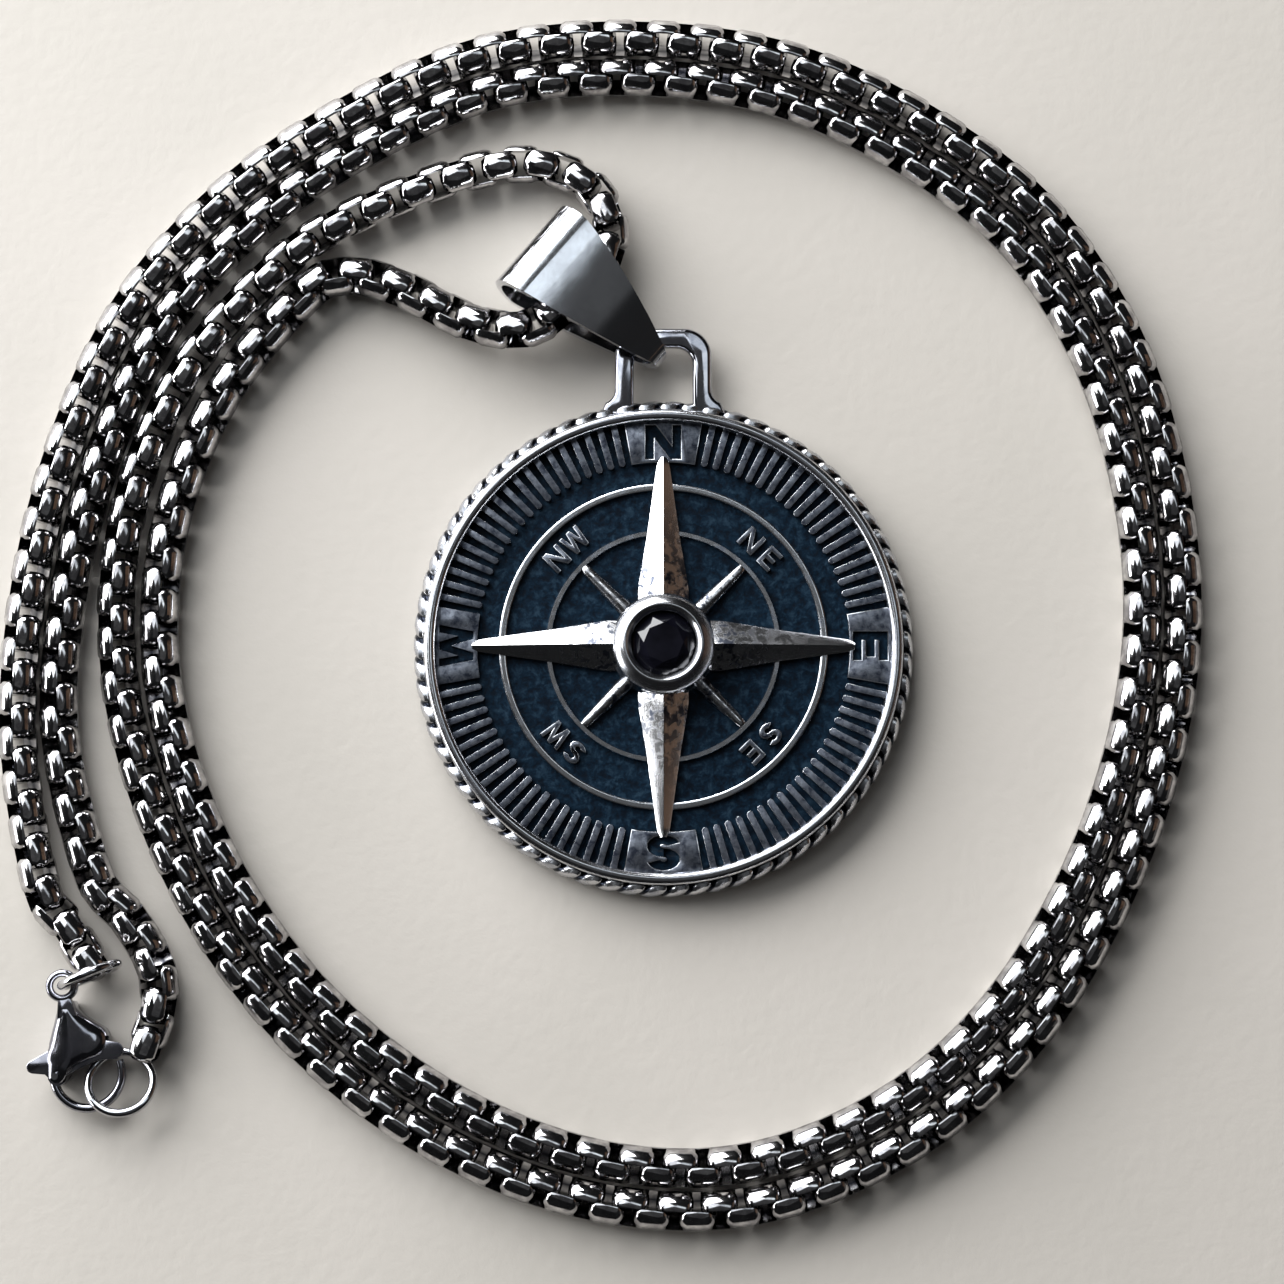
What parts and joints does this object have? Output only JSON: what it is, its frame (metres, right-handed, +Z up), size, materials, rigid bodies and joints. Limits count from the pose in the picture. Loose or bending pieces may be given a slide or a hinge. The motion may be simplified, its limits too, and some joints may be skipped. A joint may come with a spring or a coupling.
{
  "type": "compass pendant",
  "caption": "Round compass medallion with rope edge, raised star and dark stone, hung by a folded bail on a doubled, coiled box chain with a lobster clasp.",
  "frame": {"origin": "centre of the medallion's flat back, on the surface that the object lies on", "axes": "+Z up out of the dial's face, +Y towards the dial's north and the eye, +X towards the dial's east"},
  "size_m": [0.0911, 0.0923, 0.007],
  "materials": {
    "medallion_steel": "polished edges over an oxidised dark dial",
    "black_stone": "polished facets",
    "bail_steel": "worn polish",
    "chain_steel": "polished, darkened between the links",
    "ring_steel": "polished",
    "clasp_steel": "worn polish"
  },
  "bodies": {
    "necklace": {"medallion": "medallion_steel", "stone": "black_stone", "bail": "bail_steel", "chain": "chain_steel", "jump_ring": "ring_steel", "end_ring": "ring_steel", "clasp_body": "clasp_steel", "clasp_pin": "clasp_steel"},
    "lever": {"clasp_lever": "clasp_steel"}
  },
  "joints": [
    {"name": "clasp_lever_hinge", "type": "hinge", "parent": "necklace", "child": "lever", "pos_m": [-0.04516, -0.03231, 0], "axis": [0, 0, -1], "range_deg": [0, 14], "stiffness_Nm_per_rad": 0.002}
  ]
}
